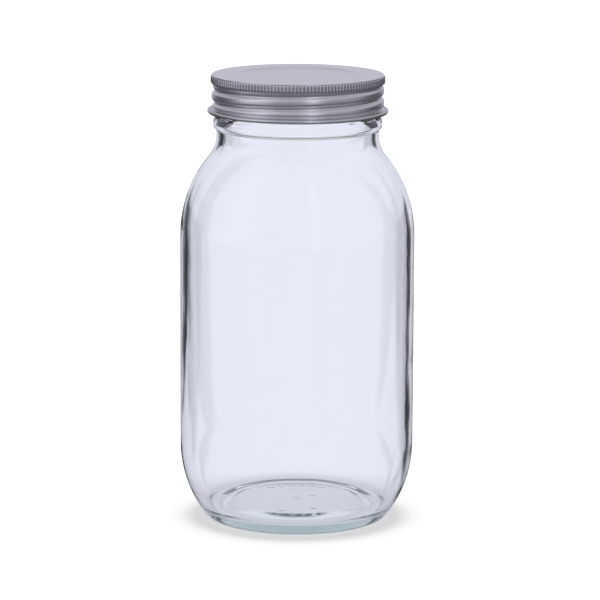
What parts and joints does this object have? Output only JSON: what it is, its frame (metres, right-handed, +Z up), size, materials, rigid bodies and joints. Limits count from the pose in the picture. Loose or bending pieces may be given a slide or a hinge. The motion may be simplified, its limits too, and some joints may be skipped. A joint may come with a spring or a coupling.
{
  "type": "glass storage jar",
  "caption": "Tall clear glass storage jar with a round shoulder, a short threaded neck and a knurled metal screw lid.",
  "frame": {"origin": "centre of the foot ring, on the surface the jar stands on", "axes": "+Z up along the jar's axis, -Y towards the camera of the picture, +X to its right"},
  "size_m": [0.095, 0.095, 0.182],
  "materials": {
    "glass": "clear polished glass with a faint cool tint",
    "lid_metal": "satin silver sheet metal"
  },
  "bodies": {
    "root": {"glass_jar": "glass", "lid": "lid_metal"}
  },
  "joints": []
}
